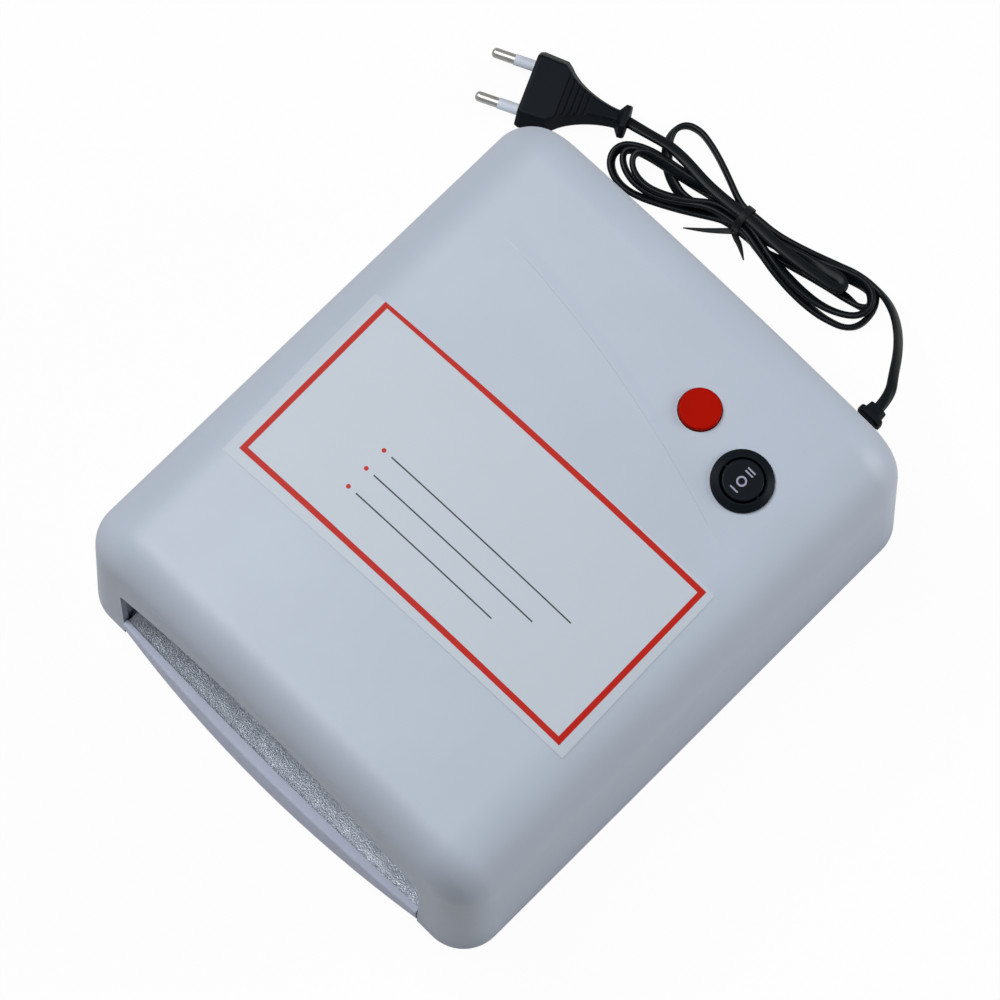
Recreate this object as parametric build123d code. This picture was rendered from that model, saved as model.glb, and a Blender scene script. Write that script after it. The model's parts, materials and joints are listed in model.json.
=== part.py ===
from build123d import *
from math import degrees, pi, radians, sqrt, tan
import os

# A desk-top ultraviolet exposure unit for photopolymer stamps, in millimetres.
# Every piece is drawn about the middle of the case: +X to the right as seen from the
# drawer, +Y to the rear, +Z up, with the table at z = 0. The last section moves them all
# so that the origin lies under the middle of the case and the drawer's lip together.

os.makedirs("parts", exist_ok=True)

# Case
case_width = 200.0
case_front, case_rear = -118.0, 117.0
case_top = 95.0
case_bottom = 2.5
wall = 2.5
side_draft = 2.6
front_draft = 3.0
corner_radius = 16.0
shoulder_radius = 25.0
crown_radius = 711.0

# Front opening, an arch over the drawer
opening_half_width = 75.9
opening_side_height = 51.8
opening_arch_height = 69.5
opening_corner_radius = 3.0

# Base plate and what stands on it
plate_gap = 0.3
plate_top = case_bottom + 2.5
screw_x, screw_y = 92.5, 84.0
screw_boss_radius = 3.3
screw_pad_radius = 3.9
screw_pad_top = plate_top + 2.5
foot_x, foot_y = 72.0, 90.0
foot_radius = 8.0
foot_recess = 0.8

# Drawer
tray_half_width = 75.4
tray_rear = 34.0
tray_floor_bottom = 6.0
tray_floor = 1.8
tray_wall = 2.0
tray_wall_top = 15.0
lip_bottom, lip_top = 3.0, 18.0
lip_end_y = -117.6
lip_bow_y = -123.1
lip_top_end_y = -118.2
lip_top_bow_y = -121.4
lip_back_end_y = -115.8
lip_back_bow_y = -117.2
liner_thickness = 0.4
liner_flange_rear = 24.0
runner_top = 14.0
cheek_x, cheek_top = 76.4, 58.0

# Reflector
sheet = 0.8
reflector_front, reflector_rear = -104.0, 38.0
reflector_side = 88.6
reflector_foot = 19.0
reflector_shoulder = 57.0
reflector_roof = 75.0
reflector_roof_half = 68.0
pillar_x, pillar_ys = 60.0, (-74.0, 22.0)

# Lamps: four U-shaped tubes of 9 W
tube_radius = 6.0
tube_pitch = 15.0
tube_length = 102.0
lamp_base_length = 28.0
lamp_base_front = 6.0
lamp_pin_radius = 1.15
lamp_pin_half_pitch = 11.5
roof_lamp_x, roof_lamp_z = 36.0, 66.5
side_lamp_x, side_lamp_z = 79.2, 37.5

# Round rocker switch, seated square to the crowned top
switch_x, switch_y = 58.2, 62.8
switch_flange_radius = 11.5
switch_flange = 2.2
switch_flange_edge = 0.9
switch_flange_rim_radius = 9.0
switch_barrel_radius = 9.8
switch_cavity_radius = 8.4
rocker_radius = 7.5
rocker_pivot_depth = 2.6
rocker_pin_radius = 1.0
running_gap = 0.05

# Timer button
button_x, button_y = 29.8, 70.7
button_radius = 7.75
button_stand = 1.9
button_hole_radius = 8.1
button_flange_radius = 9.7
guide_bottom = 86.0
timer_board_z = 60.0
timer_board_thickness = 1.6
timer_screw_x = 13.0
switch_leg_x = 2.5

# Control board
board_x, board_y, board_z = -24.0, 84.0, 13.0
board_length, board_width, board_thickness = 112.0, 48.0, 1.6

# Cord: a flat twin lead, drawn as a round tube of its width
cord_width = 4.4
cord_exit_x, cord_exit_z = 66.0, 35.0
bush_end_y = 131.0
clamp_y = 100.0
clamp_screw_xs = (cord_exit_x - 8.0, cord_exit_x + 8.0)
clamp_bar_bottom = 27.0
clamp_bar = 3.0

# Plug, lying on its flat side, its pins pointing along this direction
plug_x, plug_y = -119.05, 135.95
plug_turn = 204.8
plug_half_width, plug_half_height = 16.2, 6.85
pin_length, pin_radius, sleeve_length = 17.6, 2.0, 8.4
pin_half_pitch = 9.3
groove_pitch, groove_width, groove_depth = 2.4, 1.3, 0.8

# Label
label_x, label_y = -0.65, -12.9
label_width, label_height = 161.0, 79.5
label_turn = -1.3
label_thickness = 0.2


def block(x_range, y_range, z_range):
    """A block that fills three ranges."""
    low = (x_range[0], y_range[0], z_range[0])
    size = [high - start for start, high in zip(low, (x_range[1], y_range[1], z_range[1]))]
    return Pos(*low) * Box(*size, align=(Align.MIN, Align.MIN, Align.MIN))


def post(x, y, bottom, top, radius):
    """An upright cylinder."""
    return Pos(x, y, bottom) * Cylinder(radius, top - bottom, align=(Align.CENTER, Align.CENTER, Align.MIN))


def corners(x, y):
    """The four points at plus and minus x and y."""
    return [(side * x, end * y) for side in (-1, 1) for end in (-1, 1)]


def crown_height(x):
    """Height of the crowned top above the table."""
    return case_top - crown_radius + sqrt(crown_radius**2 - x**2)


def pipe(points, radius):
    """A round tube along straight runs joined by the largest arcs that fit, its bend radii and its length."""
    path = [Vector(*p) for p in points]
    runs = [b - a for a, b in zip(path, path[1:])]
    turns = [radians(a.get_angle(b)) for a, b in zip(runs, runs[1:])]
    bends = [
        0.45 * min(before.length, after.length) / tan(turn / 2)
        for before, after, turn in zip(runs, runs[1:], turns)
    ]
    line = FilletPolyline(*path, radius=bends)
    return sweep(Plane(line @ 0, z_dir=line % 0) * Circle(radius), path=line), bends, line.length


# Case


def case_form(inset):
    """The crowned, drafted block that the case is moulded to, drawn in from its outside by inset."""
    high = case_top + 5
    half_width = case_width / 2 - inset
    front, rear = case_front + inset, case_rear - inset
    side_lean = tan(radians(side_draft)) * (high - case_bottom)
    front_lean = tan(radians(front_draft)) * (high - case_bottom)
    across = Polyline(
        (-half_width, case_bottom),
        (half_width, case_bottom),
        (half_width - side_lean, high),
        (side_lean - half_width, high),
        close=True,
    )
    crown = Pos(0, case_top - crown_radius) * Circle(crown_radius - inset)
    section = make_face(across) & crown
    section = fillet(section.vertices().group_by(Axis.Y)[-1], shoulder_radius - inset)
    along = Polyline(
        (front, case_bottom), (rear, case_bottom), (rear - side_lean, high), (front + front_lean, high), close=True
    )
    form = extrude(Plane.XZ * section, case_width, both=True)
    form &= extrude(Plane.YZ * make_face(along), case_width, both=True)
    ends = form.faces().sort_by(Axis.Y)[0], form.faces().sort_by(Axis.Y)[-1]
    rims = [edge for end in ends for edge in end.edges() if edge.center().Z > case_bottom + 1]
    return fillet(rims, corner_radius - inset)


def arch_face():
    """The front opening, drawn in the plane of X and Z and open at the bottom."""
    half = opening_half_width
    outline = (
        Polyline((-half, opening_side_height), (-half, -wall), (half, -wall), (half, opening_side_height))
        + ThreePointArc((half, opening_side_height), (0, opening_arch_height), (-half, opening_side_height))
    )
    face = Plane.XZ * make_face(outline)
    return fillet(face.vertices().group_by(Axis.Z)[-1], opening_corner_radius)


def switch_place():
    """Where the switch's flange seats: on the crown, square to it."""
    tilt = degrees(switch_x / crown_radius)
    return Pos(switch_x, switch_y, crown_height(switch_x)) * Rot(0, tilt, 0)


timer_board_top = timer_board_z + timer_board_thickness
timer_screw_xs = (button_x - timer_screw_x, button_x + timer_screw_x)
outer_form = case_form(0)
middle_form = case_form(wall / 2)
inner_form = case_form(wall)


def upper_case():
    shell = outer_form - inner_form
    shell -= Pos(0, case_front + 15, 0) * extrude(arch_face(), 40)
    stems = [
        post(x, y, screw_pad_top + 0.1, case_top, screw_boss_radius) for x, y in corners(screw_x, screw_y)
    ]
    stems += [post(x, y, reflector_roof, case_top, 3.5) for x in (-pillar_x, pillar_x) for y in pillar_ys]
    stems += [post(x, button_y, timer_board_top, case_top, 3.0) for x in timer_screw_xs]
    stems.append(post(button_x, button_y, guide_bottom, case_top, button_hole_radius + 1.8))
    shell += [stem & middle_form for stem in stems]
    for x, y in corners(screw_x, screw_y):
        shell -= post(x, y, 0, 24, 1.5)
    for x in (-pillar_x, pillar_x):
        for y in pillar_ys:
            shell -= post(x, y, 0, reflector_roof + 8, 1.25)
    for x in timer_screw_xs:
        shell -= post(x, button_y, timer_board_z, timer_board_z + 9, 1.0)
    shell -= post(button_x, button_y, guide_bottom - 1, case_top + 5, button_hole_radius)
    shell -= switch_place() * Cylinder(switch_barrel_radius + 0.3, 12)
    bush_hole = Cylinder(4.6, 12, rotation=(90, 0, 0)) & Box(8.0, 12, 10)
    shell -= Pos(cord_exit_x, case_rear, cord_exit_z) * bush_hole
    return shell


def base_plate():
    margin = 2 * (wall + plate_gap)
    outline = RectangleRounded(case_width - margin, case_rear - case_front - margin, corner_radius - wall)
    outline = Pos(0, (case_front + case_rear) / 2) * outline
    plate = extrude(Pos(0, 0, case_bottom) * outline, plate_top - case_bottom)
    rim = extrude(Pos(0, 0, plate_top) * (offset(outline, -0.9) - offset(outline, -2.5)), 2.5)
    plate += rim - block((-opening_half_width - 4, opening_half_width + 4), (2 * case_front, -90), (0, 20))
    for x, y in corners(screw_x, screw_y):
        plate += post(x, y, plate_top, screw_pad_top, screw_pad_radius)
    for side in (-1, 1):
        inside, outside = sorted((side * 76.3, side * 78.3))
        plate += block((inside, outside), (-113, tray_rear + 2), (plate_top, runner_top))
        for x in (22, 60):
            plate += block((side * x - 1, side * x + 1), (-112, tray_rear), (plate_top, tray_floor_bottom - 0.2))
    for x, y in board_post_places():
        plate += post(x, y, plate_top, board_z, 3.0) - post(x, y, plate_top + 1, board_z, 1.0)
    for x in clamp_screw_xs:
        pillar = post(x, clamp_y, plate_top, clamp_bar_bottom, 3.0)
        plate += pillar - post(x, clamp_y, clamp_bar_bottom - 12, clamp_bar_bottom, 1.1)
    for x, y in corners(screw_x, screw_y):
        plate -= post(x, y, 0, 20, 1.7) + post(x, y, 0, case_bottom + 2.2, 3.4)
    for x, y in corners(foot_x, foot_y):
        plate -= post(x, y, 0, case_bottom + foot_recess, foot_radius + 0.1)
    slot = extrude(SlotOverall(26, 3, rotation=90), 20, both=True)
    for column in range(9):
        plate -= Pos(12 * (column - 4), 84, 0) * slot
    return plate


def rubber_feet():
    feet = [post(x, y, 0, case_bottom + foot_recess, foot_radius) for x, y in corners(foot_x, foot_y)]
    return [chamfer(foot.edges().group_by(Axis.Z)[0], 0.8) for foot in feet]


def screw(length, shank, head, head_height):
    """A pan-head screw, its head's top at z = 0 facing down and its shank pointing up."""
    cap = Cylinder(head, head_height, align=(Align.CENTER, Align.CENTER, Align.MIN))
    cap = fillet(cap.edges().group_by(Axis.Z)[0], 0.5 * head_height)
    cap -= block((-0.3, 0.3), (-0.7 * head, 0.7 * head), (0, 0.4 * head_height))
    cap -= block((-0.7 * head, 0.7 * head), (-0.3, 0.3), (0, 0.4 * head_height))
    return cap + post(0, 0, head_height, head_height + length, shank)


def case_screws():
    return [Pos(x, y, case_bottom + 0.2) * screw(14, 1.45, 3.0, 2.0) for x, y in corners(screw_x, screw_y)]


# Drawer


def lip_face(z, end_y, bow_y):
    """The lip's plan at a height: its front bowed, its back nearly straight."""
    half = tray_half_width
    outline = (
        ThreePointArc((-half, end_y), (0, bow_y), (half, end_y))
        + Line((half, end_y), (half, lip_back_end_y))
        + ThreePointArc((half, lip_back_end_y), (0, lip_back_bow_y), (-half, lip_back_end_y))
        + Line((-half, lip_back_end_y), (-half, end_y))
    )
    return Pos(0, 0, z) * make_face(outline)


def drawer_tray():
    lip = loft([lip_face(lip_bottom, lip_end_y, lip_bow_y), lip_face(lip_top, lip_top_end_y, lip_top_bow_y)])
    front_edge = lip.edges().group_by(Axis.Z)[-1].sort_by(Axis.Y)[0]
    lip = fillet(front_edge, 0.8)
    half = tray_half_width
    pan = block((-half, half), (lip_back_end_y - 0.6, tray_rear), (tray_floor_bottom, tray_wall_top))
    pan = fillet(pan.edges().filter_by(Axis.Z).group_by(Axis.Y)[-1], 6)
    inner_half = half - tray_wall
    hollow = block((-inner_half, inner_half), (lip_back_bow_y, tray_rear - tray_wall), (0, 40))
    hollow = fillet(hollow.edges().filter_by(Axis.Z).group_by(Axis.Y)[-1], 4)
    hollow &= block((-half, half), (-200, 200), (tray_floor_bottom + tray_floor, 40))
    return lip + (pan - hollow)


def tray_liner():
    """Foil on the drawer's floor, folded up its sides and over their tops."""
    half = tray_half_width - tray_wall - 0.05
    bottom = tray_floor_bottom + tray_floor
    front, rear = lip_back_end_y + 0.2, tray_rear - tray_wall - 0.4
    foil = block((-half, half), (front, rear), (bottom, bottom + liner_thickness))
    foil = fillet(foil.edges().filter_by(Axis.Z).group_by(Axis.Y)[-1], 4)
    hem_bottom = tray_wall_top + 0.05
    for side in (-1, 1):
        flange = sorted((side * half, side * (half - liner_thickness)))
        hem = sorted((side * (half - liner_thickness), side * (tray_half_width - 0.1)))
        foil += block(flange, (front, liner_flange_rear), (bottom, hem_bottom))
        foil += block(hem, (front, liner_flange_rear), (hem_bottom, hem_bottom + liner_thickness))
    return foil


def mouth_cheeks():
    """Foil-faced sheets that stand on the runners and close the mouth's ends behind the front wall."""
    low, high = runner_top, cheek_top
    lean = tan(radians(front_draft))
    front = case_front + wall + 0.4
    outline = Polyline(
        (front + lean * (low - case_bottom), low),
        (reflector_front - 0.2, low),
        (reflector_front - 0.2, high),
        (front + lean * (high - case_bottom), high),
        close=True,
    )
    sheet_face = Plane.YZ * make_face(outline)
    return [Pos(side * cheek_x, 0, 0) * extrude(sheet_face, side * sheet) for side in (-1, 1)]


# Reflector and lamps


def lamp_places():
    """Each lamp's name and place: its base's front face, with local +Z towards what carries it."""
    places = {}
    for name, side in (("left", -1), ("right", 1)):
        roof = Pos(side * roof_lamp_x, lamp_base_front, roof_lamp_z)
        wall_side = Pos(side * side_lamp_x, lamp_base_front, side_lamp_z) * Rot(0, side * 90, 0)
        places[f"{name}_roof"] = roof
        places[f"{name}_side"] = wall_side
    return places


def reflector_outline(inset):
    """Half-round-shouldered canopy profile in the plane of X and Z, as a list of points."""
    side = reflector_side - inset
    shoulder = reflector_shoulder - 0.5 * inset
    roof_half = reflector_roof_half - 0.5 * inset
    roof = reflector_roof - inset
    half = [(side, reflector_foot), (side - 1, shoulder), (roof_half, roof)]
    return half + [(-x, z) for x, z in reversed(half)]


def reflector_housing():
    skin = []
    for inset, radius in ((0, 7), (sheet, 7 - sheet)):
        line = FilletPolyline(*reflector_outline(inset), radius=radius)
        closed = line + Line(line @ 1, line @ 0)
        skin.append(make_face(closed))
    canopy = Plane.XZ * (skin[0] - skin[1])
    length = reflector_rear - reflector_front
    canopy = Pos(0, reflector_rear, 0) * extrude(canopy, length)
    back = Pos(0, reflector_rear, 0) * extrude(Plane.XZ * skin[0], sheet)
    canopy += back
    for place in lamp_places().values():
        nose = Pos(0, lamp_base_length, 0) * Box(28.4, 20, 12.4)
        canopy -= place * nose
    for x in (-pillar_x, pillar_x):
        for y in pillar_ys:
            canopy -= post(x, y, 40, 80, 1.4)
    return canopy


def reflector_screws():
    fixed_at = reflector_roof - sheet
    return [
        Pos(x, y, fixed_at - 1.6) * screw(6, 1.2, 2.6, 1.6) for x in (-pillar_x, pillar_x) for y in pillar_ys
    ]


def lamp_tube():
    """Two parallel glass tubes with domed ends, joined by a short bridge near the ends."""
    glass = []
    for x in (-tube_pitch / 2, tube_pitch / 2):
        stem = Cylinder(tube_radius, tube_length - tube_radius, align=(Align.CENTER, Align.CENTER, Align.MIN))
        dome = Pos(0, 0, tube_length - tube_radius) * Sphere(tube_radius)
        glass.append(Pos(x, 0, 0) * Rot(90, 0, 0) * (stem + dome))
    bridge = Pos(0, 14 - tube_length, 0) * Rot(0, 90, 0) * Cylinder(3.6, tube_pitch)
    return glass[0] + glass[1] + bridge


def lamp_base():
    """The moulded foot of a lamp: a flat oval block, stepped down towards its pins."""
    body = extrude(Plane.XZ * SlotOverall(tube_pitch + 2 * tube_radius + 3, 15), -lamp_base_length + 8)
    tail = extrude(Plane.XZ * RectangleRounded(26, 11, 3), -lamp_base_length)
    body = fillet(body.edges().group_by(Axis.Y)[-1], 1.2)
    return body + tail


def lamp_pins():
    pins = []
    for place in lamp_places().values():
        for x in (-lamp_pin_half_pitch, lamp_pin_half_pitch):
            pin = Cylinder(lamp_pin_radius, 8, align=(Align.CENTER, Align.CENTER, Align.MIN))
            pin = fillet(pin.edges().group_by(Axis.Z)[-1], 0.6)
            pins.append(place * Pos(x, lamp_base_length, 0) * Rot(-90, 0, 0) * pin)
    return pins


def lamp_socket():
    """The holder behind the reflector that a lamp's pins plug into."""
    start = reflector_rear - lamp_base_front + 0.1
    body = Pos(0, start, 0) * extrude(Plane.XZ * RectangleRounded(33, 17, 2), -13)
    nose = Pos(0, lamp_base_length + 0.2, 0) * extrude(Plane.XZ * RectangleRounded(27.6, 11.6, 1), -8)
    body += nose
    for x in (-lamp_pin_half_pitch, lamp_pin_half_pitch):
        body -= Pos(x, start, 0) * Rot(-90, 0, 0) * Cylinder(lamp_pin_radius + 0.15, 12)
    return body


def lamp_clip():
    """A spring-steel clip, its plate against the reflector and its arms round both tubes."""
    reach = tube_pitch / 2 + tube_radius + 0.4
    height = reflector_roof - sheet - roof_lamp_z - 0.3
    line = FilletPolyline(
        (-reach + 1.8, -6.6),
        (-reach, -3.4),
        (-reach, height),
        (reach, height),
        (reach, -3.4),
        (reach - 1.8, -6.6),
        radius=1.2,
    )
    strip = trace(line, line_width=0.5)
    return Pos(0, -62, 0) * extrude(Plane.XZ * strip, 8)


# Controls


def switch_housing():
    """A flange that rises from its edge to a rim round the well, over a barrel with two latch fingers."""
    edge = post(0, 0, 0, switch_flange_edge, switch_flange_radius)
    rise = switch_flange - switch_flange_edge
    slope = Cone(
        switch_flange_radius, switch_flange_rim_radius, rise, align=(Align.CENTER, Align.CENTER, Align.MIN)
    )
    flange = edge + Pos(0, 0, switch_flange_edge) * slope
    flange = fillet(flange.edges().group_by(Axis.Z)[-1], 0.4)
    barrel = post(0, 0, -13, 0, switch_barrel_radius)
    body = flange + barrel
    body -= post(0, 0, -10.6, switch_flange + 1, switch_cavity_radius)
    body -= Pos(0, 0, switch_flange - rocker_pivot_depth) * Rot(0, 90, 0) * Cylinder(
        rocker_pin_radius + running_gap, 2 * switch_barrel_radius - 0.8
    )
    for side in (-1, 1):
        finger = Polyline((9.4, -wall - 0.4), (10.9, -wall - 0.4), (9.4, -9), close=True)
        finger = Rot(0, 0, side * 90) * extrude(Plane.XZ * make_face(finger), 3, both=True)
        body += finger
    return switch_place() * body


def switch_rocker():
    """A round rocker on two stub pins, its skirt rounded off so that it can tip in its well."""
    pivot = switch_flange - rocker_pivot_depth
    drum = post(0, 0, pivot - 4, switch_flange + 0.5, rocker_radius)
    drum = fillet(drum.edges().group_by(Axis.Z)[-1], 0.5)
    drum = drum & Pos(0, 0, pivot) * Sphere(switch_cavity_radius - 0.2)
    pin = Pos(0, 0, pivot) * Rot(0, 90, 0) * Cylinder(rocker_pin_radius, 2 * switch_barrel_radius - 1.6)
    return switch_place() * (drum + pin)


def switch_terminals():
    blades = []
    for y in (-5.5, 0, 5.5):
        blade = block((-2.4, 2.4), (y - 0.4, y + 0.4), (-20.5, -13))
        blade -= Pos(0, y, -18) * Rot(90, 0, 0) * Cylinder(0.8, 4)
        blades.append(switch_place() * blade)
    return blades


button_top = crown_height(button_x) + button_stand
flange_top = guide_bottom - 0.2
flange_bottom = flange_top - 1.5
switch_body_top = timer_board_top + 13


def timer_button_cap():
    cap = post(0, 0, flange_bottom, button_top, button_radius)
    cap = fillet(cap.edges().group_by(Axis.Z)[-1], 0.9)
    cap += post(0, 0, flange_bottom, flange_top, button_flange_radius)
    cap -= post(0, 0, flange_bottom, button_top - 2.4, button_radius - 1.6)
    cap += post(0, 0, flange_bottom + 2.6, button_top - 2, 3.4)
    return Pos(button_x, button_y, 0) * cap


def button_plunger():
    stem = block((-1.6, 1.6), (-1.6, 1.6), (switch_body_top - 5, flange_bottom + 2.6))
    stem += post(0, 0, flange_bottom + 1.6, flange_bottom + 2.6, 3.4)
    return Pos(button_x, button_y, 0) * stem


def button_spring():
    bottom = switch_body_top + 0.4
    height = flange_bottom + 1.6 - 0.4 - bottom
    turns = 4.5
    coil = Helix(pitch=height / turns, height=height, radius=3.0)
    wire = Plane(coil @ 0, z_dir=coil % 0) * Circle(0.3)
    return Pos(button_x, button_y, bottom) * sweep(wire, path=coil, is_frenet=True)


def push_switch_body():
    low = timer_board_top
    body = block((-4.2, 4.2), (-4.2, 4.2), (low, switch_body_top))
    body = chamfer(body.edges().group_by(Axis.Z)[-1], 0.5)
    body -= block((-1.75, 1.75), (-1.75, 1.75), (switch_body_top - 9, switch_body_top + 1))
    for x in (-switch_leg_x, switch_leg_x):
        body += block((x - 0.3, x + 0.3), (-0.3, 0.3), (low - 4, low + 1))
    return Pos(button_x, button_y, 0) * body


def timer_board():
    board = extrude(Pos(0, 0, timer_board_z) * RectangleRounded(34, 13, 1.5), timer_board_thickness)
    for x in (-timer_screw_x, timer_screw_x):
        board -= post(x, 0, 0, case_top, 1.2)
    for x in (-switch_leg_x, switch_leg_x):
        board -= post(x, 0, 0, case_top, 0.6)
    return Pos(button_x, button_y, 0) * board


def timer_board_screws():
    return [Pos(x, button_y, timer_board_z - 1.4) * screw(7, 0.95, 2.2, 1.4) for x in timer_screw_xs]


# Control board


def board_post_places():
    reach_x, reach_y = board_length / 2 - 4, board_width / 2 - 4
    return [(board_x + x, board_y + y) for x, y in corners(reach_x, reach_y)]


board_top = board_z + board_thickness


def circuit_board():
    board = Pos(board_x, board_y, board_z) * extrude(RectangleRounded(board_length, board_width, 2), board_thickness)
    for x, y in board_post_places():
        board -= post(x, y, 0, 40, 1.3)
    return board


def board_screws():
    return [
        Pos(x, y, board_top + 1.6) * Rot(180, 0, 0) * screw(6.5, 0.95, 2.3, 1.6) for x, y in board_post_places()
    ]


def on_board(x, y, piece):
    """A component standing on the board at a place measured from the board's middle."""
    return Pos(board_x + x, board_y + y, board_top) * piece


def ballast_coils():
    """One choke per lamp: a ferrite core with its winding bobbin between two flanges."""
    core = block((-8, 8), (-3, 3), (2, 18)) - block((-5, 5), (-5, 5), (5, 15))
    core += block((-2, 2), (-3, 3), (4, 16))
    winding = extrude(Pos(0, 0, 5.6) * RectangleRounded(9.6, 12, 2), 8.8)
    bobbin = block((-6.5, 6.5), (-7, 7), (0, 2))
    choke = core + winding + bobbin
    return [on_board(x, 9, choke) for x in (-39, -20, -1, 18)]


def bulk_capacitors():
    can = fillet(post(0, 0, 0, 22, 5).edges().group_by(Axis.Z)[-1], 0.8)
    can -= post(0, 0, 21.6, 23, 3.8)
    return [on_board(x, -11, can) for x in (-40, -27)]


def film_capacitors():
    film = extrude(RectangleRounded(5, 13, 1.8), 11)
    film = fillet(film.edges().group_by(Axis.Z)[-1], 1.2)
    return [on_board(x, -10, film) for x in (-14, -6, 2, 10)]


def power_transistors():
    body = block((-4, 4), (-1.4, 1.4), (3, 14)) - Pos(0, 0, 11) * Rot(90, 0, 0) * Cylinder(1.5, 6)
    for x in (-2.3, 0, 2.3):
        body += block((x - 0.35, x + 0.35), (-0.3, 0.3), (0, 4))
    return [on_board(x, -0.8, body) for x in (-32, -20, -8, 4)]


def timer_relay():
    return on_board(38, 8, chamfer(block((-9.5, 9.5), (-7.5, 7.5), (0, 15.5)).edges().group_by(Axis.Z)[-1], 0.8))


def timer_chip():
    chip = block((-4.8, 4.8), (-3.2, 3.2), (1, 4.4)) - Pos(-4.8, 0, 4.4) * Sphere(1)
    for x in (-3.8, -1.3, 1.3, 3.8):
        for y in (-3.7, 3.7):
            chip += block((x - 0.4, x + 0.4), (y - 0.6, y + 0.6), (0, 3))
    return on_board(24, -12, chip)


def mains_fuse():
    glass = Pos(0, 0, 4) * Rot(0, 90, 0) * Cylinder(2.3, 14)
    for x in (-8.2, 8.2):
        cap = Pos(x, 0, 4) * Rot(0, 90, 0) * Cylinder(2.7, 4)
        glass += cap + block((x - 0.5, x + 0.5), (-2, 2), (0, 4))
    return on_board(42, -8, glass)


def board_connectors():
    shroud = block((-5, 5), (-3, 3), (0, 8)) - block((-4, 4), (-2, 2), (2, 9))
    return [on_board(x, -19.5, shroud) for x in (-24, -6, 12, 30)]


# Cord, hank and plug


def strain_relief():
    """A split bush in the rear wall: a head outside, a neck through the wall and a grip inside."""
    face = case_rear - tan(radians(side_draft)) * (cord_exit_z - case_bottom)
    head = Pos(0, face + 0.3, 0) * extrude(Plane.XZ * RectangleRounded(12.5, 10.5, 2.5), -4)
    head = fillet(head.edges().group_by(Axis.Y)[-1], 1.2)
    stem = loft(
        [
            Pos(0, face + 3, 0) * (Plane.XZ * RectangleRounded(9.5, 8, 2.5)),
            Pos(0, bush_end_y, 0) * (Plane.XZ * RectangleRounded(7.2, 5.4, 2.2)),
        ]
    )
    neck = Pos(0, face - wall - 1.4, 0) * extrude(Plane.XZ * RectangleRounded(7.6, 7.6, 2), -wall - 2)
    grip = Pos(0, face - wall - 6.4, 0) * extrude(Plane.XZ * RectangleRounded(7.2, 10.4, 2), -5.6)
    collar = Pos(0, bush_end_y - 5.5, 0) * extrude(Plane.XZ * RectangleRounded(10.4, 8.4, 2.5), -2.4)
    collar = fillet(collar.edges().group_by(Axis.Y)[-1], 0.8)
    return Pos(cord_exit_x, 0, cord_exit_z) * (head + stem + neck + grip + collar)


def cord_clamp():
    """A bar over the cord's end inside the case, screwed to two posts."""
    bar = Pos(cord_exit_x, clamp_y, clamp_bar_bottom) * extrude(SlotOverall(24, 7), clamp_bar)
    arch = Pos(cord_exit_x, clamp_y, clamp_bar_bottom + clamp_bar) * Rot(90, 0, 0) * Cylinder(4.2, 7)
    bar += arch & block((0, case_width / 2), (0, case_rear), (clamp_bar_bottom, case_top))
    bar -= Pos(cord_exit_x, clamp_y, clamp_bar_bottom + 2) * Rot(90, 0, 0) * Cylinder(2.6, 9)
    for x in clamp_screw_xs:
        bar -= post(x, clamp_y, 0, case_top, 1.3)
    return bar


def clamp_screws():
    head_top = clamp_bar_bottom + clamp_bar + 1.6
    return [Pos(x, clamp_y, head_top) * Rot(180, 0, 0) * screw(8, 1.05, 2.2, 1.6) for x in clamp_screw_xs]


# Route of the cord from the bush down to the table and along it to the hank
lead_route = [
    (66.0, 131.0, 35.0),
    (65.9, 138.5, 34.4),
    (62.4, 147.0, 31.2),
    (57.0, 155.2, 24.6),
    (50.0, 162.6, 15.6),
    (42.2, 168.6, 7.6),
    (33.0, 172.8, 3.2),
    (22.5, 174.0, 2.3),
]
# Route from the hank's other end to the plug's collar
tail_route = [
    (-66.5, 161.5, 6.5),
    (-72.5, 158.6, 6.9),
    (-83.2, 153.0, 6.85),
]
hank_height = 11.0


def hank_outline():
    """The hank seen from above: a wide loop each side of a waist where the tie holds it."""
    points = [
        (-25.0, 160.6),
        (4.0, 171.5),
        (27.0, 173.5),
        (37.0, 163.0),
        (30.0, 150.0),
        (2.0, 147.0),
        (-24.0, 151.0),
        (-46.0, 137.5),
        (-64.0, 131.0),
        (-78.0, 140.0),
        (-72.0, 157.0),
        (-61.0, 171.0),
        (-44.0, 168.5),
    ]
    return make_face(Spline(*points, periodic=True))


def cord_hank():
    body = extrude(hank_outline(), hank_height)
    return fillet(body.edges().group_by(Axis.Z)[-1], 3.0)


def cord_tie():
    """A wire tie round the waist of the hank, its two twisted ends left long."""
    height = hank_height + 0.9
    place = Pos(-24.5, 156.0, height / 2) * Rot(0, 0, 6)
    ring = RectangleRounded(11.8, height, 3) - RectangleRounded(8.6, hank_height - 2, 2)
    band = place * Pos(0.8, 0, 0) * extrude(Plane.YZ * ring, -1.6)
    for middle, tip in (((-30.5, 144.4, 4.0), (-39.4, 139.3, 3.0)), ((-19.6, 148.2, 4.0), (-14.7, 146.1, 3.0))):
        line = ThreePointArc((-23.9, 150.4, 4.4), middle, tip)
        band += sweep(Plane(line @ 0, z_dir=line % 0) * Circle(0.7), path=line)
    return band - cord_hank()


def plug_place():
    """The middle of the plug's pin face, with local +Y pointing along the pins."""
    return Pos(plug_x, plug_y, plug_half_height) * Rot(0, 0, plug_turn - 90)


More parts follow.
